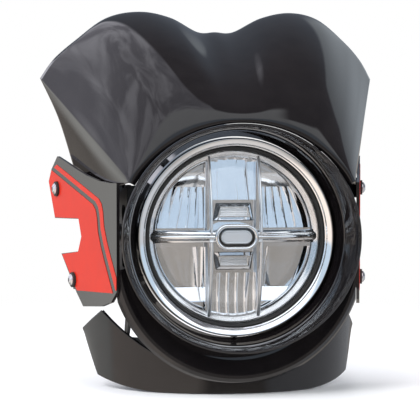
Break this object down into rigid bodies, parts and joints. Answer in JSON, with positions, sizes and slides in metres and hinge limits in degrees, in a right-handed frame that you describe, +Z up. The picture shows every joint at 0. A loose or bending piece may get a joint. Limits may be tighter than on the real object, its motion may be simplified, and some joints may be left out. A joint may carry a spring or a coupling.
{
  "type": "headlight cowl",
  "caption": "Twin-humped headlight cowl with collar, chin plate, striped side panels and its round lamp on two fork stays",
  "frame": {"origin": "on the lamp axis, where it meets the common axis of the two stays' lower fixing holes", "axes": "+Z up, the lamp looks along -Y, +X is the rider's left and runs along the fixing holes' axis"},
  "size_m": [0.346, 0.221, 0.371],
  "materials": {
    "gloss_black": "high gloss",
    "orange_film": "gloss film",
    "bolt_steel": "satin",
    "rubber": "matte",
    "black_steel": "satin powder coat",
    "zinc_steel": "satin",
    "black_housing": "matte",
    "chrome": "mirror",
    "clear_lens": "clear gloss",
    "frosted_lens": "clear",
    "mirror_coating": "bright",
    "board": "matte",
    "led": "matte",
    "cast_alloy": "cast"
  },
  "bodies": {
    "root": {"upper_cowl": "gloss_black", "lamp_collar": "gloss_black", "lower_lip": "gloss_black", "chin_cowl": "gloss_black", "left_side_panel": "gloss_black", "right_side_panel": "gloss_black", "left_stripe_film": "orange_film", "right_stripe_film": "orange_film", "left_upper_panel_bolt": "bolt_steel", "left_lower_panel_bolt": "bolt_steel", "right_upper_panel_bolt": "bolt_steel", "right_lower_panel_bolt": "bolt_steel", "left_upper_washer": "rubber", "left_lower_washer": "rubber", "right_upper_washer": "rubber", "right_lower_washer": "rubber", "left_panel_bracket": "black_steel", "right_panel_bracket": "black_steel", "left_lamp_stay": "black_steel", "right_lamp_stay": "black_steel", "bracket_screws": "zinc_steel", "left_pivot_bolt": "zinc_steel", "right_pivot_bolt": "zinc_steel", "left_pivot_washer": "zinc_steel", "right_pivot_washer": "zinc_steel", "cowl_bridge": "black_steel", "cowl_pads": "rubber", "collar_screws": "zinc_steel", "chin_brackets": "black_steel", "lamp_bucket": "black_housing", "lamp_rim": "chrome", "rim_screw": "zinc_steel", "rim_seal": "rubber", "lamp_lens": "clear_lens", "bezel_frame": "chrome", "position_light": "frosted_lens", "upper_reflector": "mirror_coating", "lower_reflector": "mirror_coating", "upper_projector": "mirror_coating", "lower_projector": "mirror_coating", "projector_lenses": "frosted_lens", "led_chips": "led", "led_board": "board", "lamp_base": "cast_alloy", "wiring_grommet": "rubber"}
  },
  "joints": []
}
